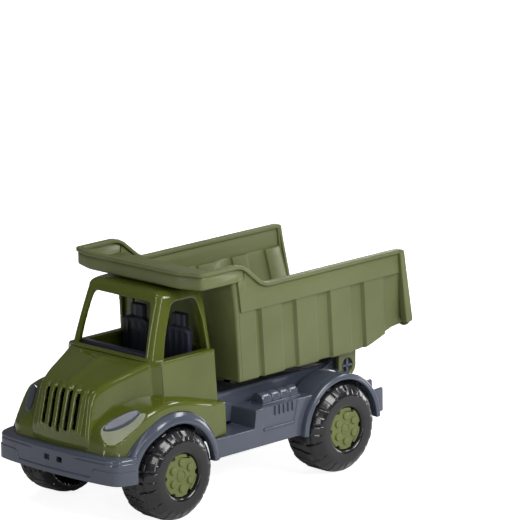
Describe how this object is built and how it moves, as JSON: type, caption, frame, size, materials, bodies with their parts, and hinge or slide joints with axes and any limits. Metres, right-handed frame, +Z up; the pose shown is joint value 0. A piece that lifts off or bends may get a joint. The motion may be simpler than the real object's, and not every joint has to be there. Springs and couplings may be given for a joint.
{
  "type": "toy dump truck",
  "caption": "Moulded plastic toy dump truck with a hooded cab, ribbed open tipping bed that hinges at the rear, and wheels that roll on fixed axles.",
  "frame": {"origin": "middle of the truck's footprint on the ground", "axes": "+X to the truck's left, +Y to its tail, +Z up; the bonnet faces -Y"},
  "size_m": [0.14, 0.298, 0.1704],
  "materials": {
    "olive_gloss": "glossy olive green moulded plastic",
    "olive_satin": "satin olive green moulded plastic",
    "slate_plastic": "glossy blue-grey moulded plastic",
    "navy_plastic": "satin dark navy moulded plastic",
    "black_plastic": "glossy black moulded plastic wheel",
    "steel": "plain drawn steel rod"
  },
  "bodies": {
    "truck": {"chassis": "slate_plastic", "front_axle": "steel", "rear_axle": "steel", "cab_shell": "olive_gloss", "cab_interior": "navy_plastic", "seat_left": "navy_plastic", "seat_right": "navy_plastic", "headlight_left": "slate_plastic", "headlight_right": "slate_plastic"},
    "bed": {"dump_bed": "olive_satin"},
    "wheel_front_left": {"tyre_front_left": "black_plastic", "hub_cap_front_left": "olive_gloss"},
    "wheel_front_right": {"tyre_front_right": "black_plastic", "hub_cap_front_right": "olive_gloss"},
    "wheel_rear_left": {"tyre_rear_left": "black_plastic", "hub_cap_rear_left": "olive_gloss"},
    "wheel_rear_right": {"tyre_rear_right": "black_plastic", "hub_cap_rear_right": "olive_gloss"}
  },
  "joints": [
    {"name": "bed_tip", "type": "hinge", "parent": "truck", "child": "bed", "pos_m": [0, 0.103, 0.0697], "axis": [-1, 0, 0], "range_deg": [0, 50]},
    {"name": "wheel_front_left_spin", "type": "hinge", "parent": "truck", "child": "wheel_front_left", "pos_m": [0.057, -0.091, 0.033], "axis": [1, 0, 0], "continuous": true},
    {"name": "wheel_front_right_spin", "type": "hinge", "parent": "truck", "child": "wheel_front_right", "pos_m": [-0.057, -0.091, 0.033], "axis": [1, 0, 0], "continuous": true},
    {"name": "wheel_rear_left_spin", "type": "hinge", "parent": "truck", "child": "wheel_rear_left", "pos_m": [0.057, 0.074, 0.033], "axis": [1, 0, 0], "continuous": true},
    {"name": "wheel_rear_right_spin", "type": "hinge", "parent": "truck", "child": "wheel_rear_right", "pos_m": [-0.057, 0.074, 0.033], "axis": [1, 0, 0], "continuous": true}
  ]
}
